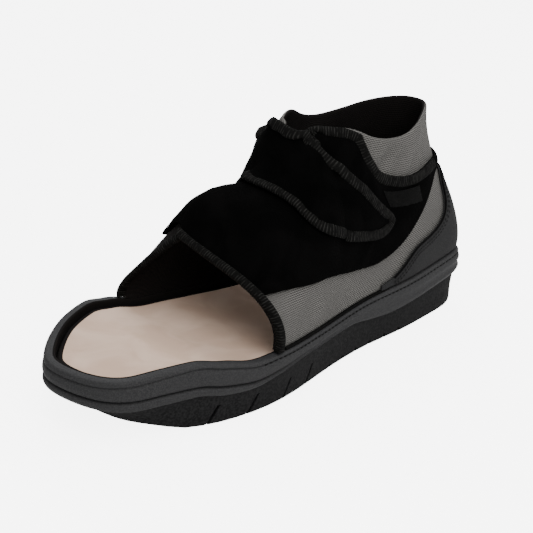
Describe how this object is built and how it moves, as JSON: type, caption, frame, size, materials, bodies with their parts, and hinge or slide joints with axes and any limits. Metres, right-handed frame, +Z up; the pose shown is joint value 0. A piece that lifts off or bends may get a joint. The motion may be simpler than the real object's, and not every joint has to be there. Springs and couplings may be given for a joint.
{
  "type": "post operative shoe",
  "caption": "Open-toe post-operative shoe for the left foot: rocker sole, grey mesh upper, wrap-over forefoot flap and ankle strap.",
  "frame": {"origin": "on the ground, in the middle of the flat under the heel", "axes": "+Z up; the toe points to -Y, the outer side of the foot to +X"},
  "size_m": [0.1122, 0.3, 0.1365],
  "materials": {
    "rubber": "matt, finely grained",
    "midsole": "matt moulded foam rubber",
    "footbed": "soft brushed lining",
    "mesh": "grey spacer mesh",
    "counter": "matt coated sheet",
    "velour": "short black nap",
    "binding": "black woven tape"
  },
  "bodies": {
    "root": {"outsole": "rubber", "midsole": "midsole", "insole": "footbed", "upper": "mesh", "heel_counter": "counter", "outer_panel": "velour", "ankle_strap": "velour", "side_label": "binding", "outer_binding": "binding", "inner_binding": "binding"}
  },
  "joints": []
}
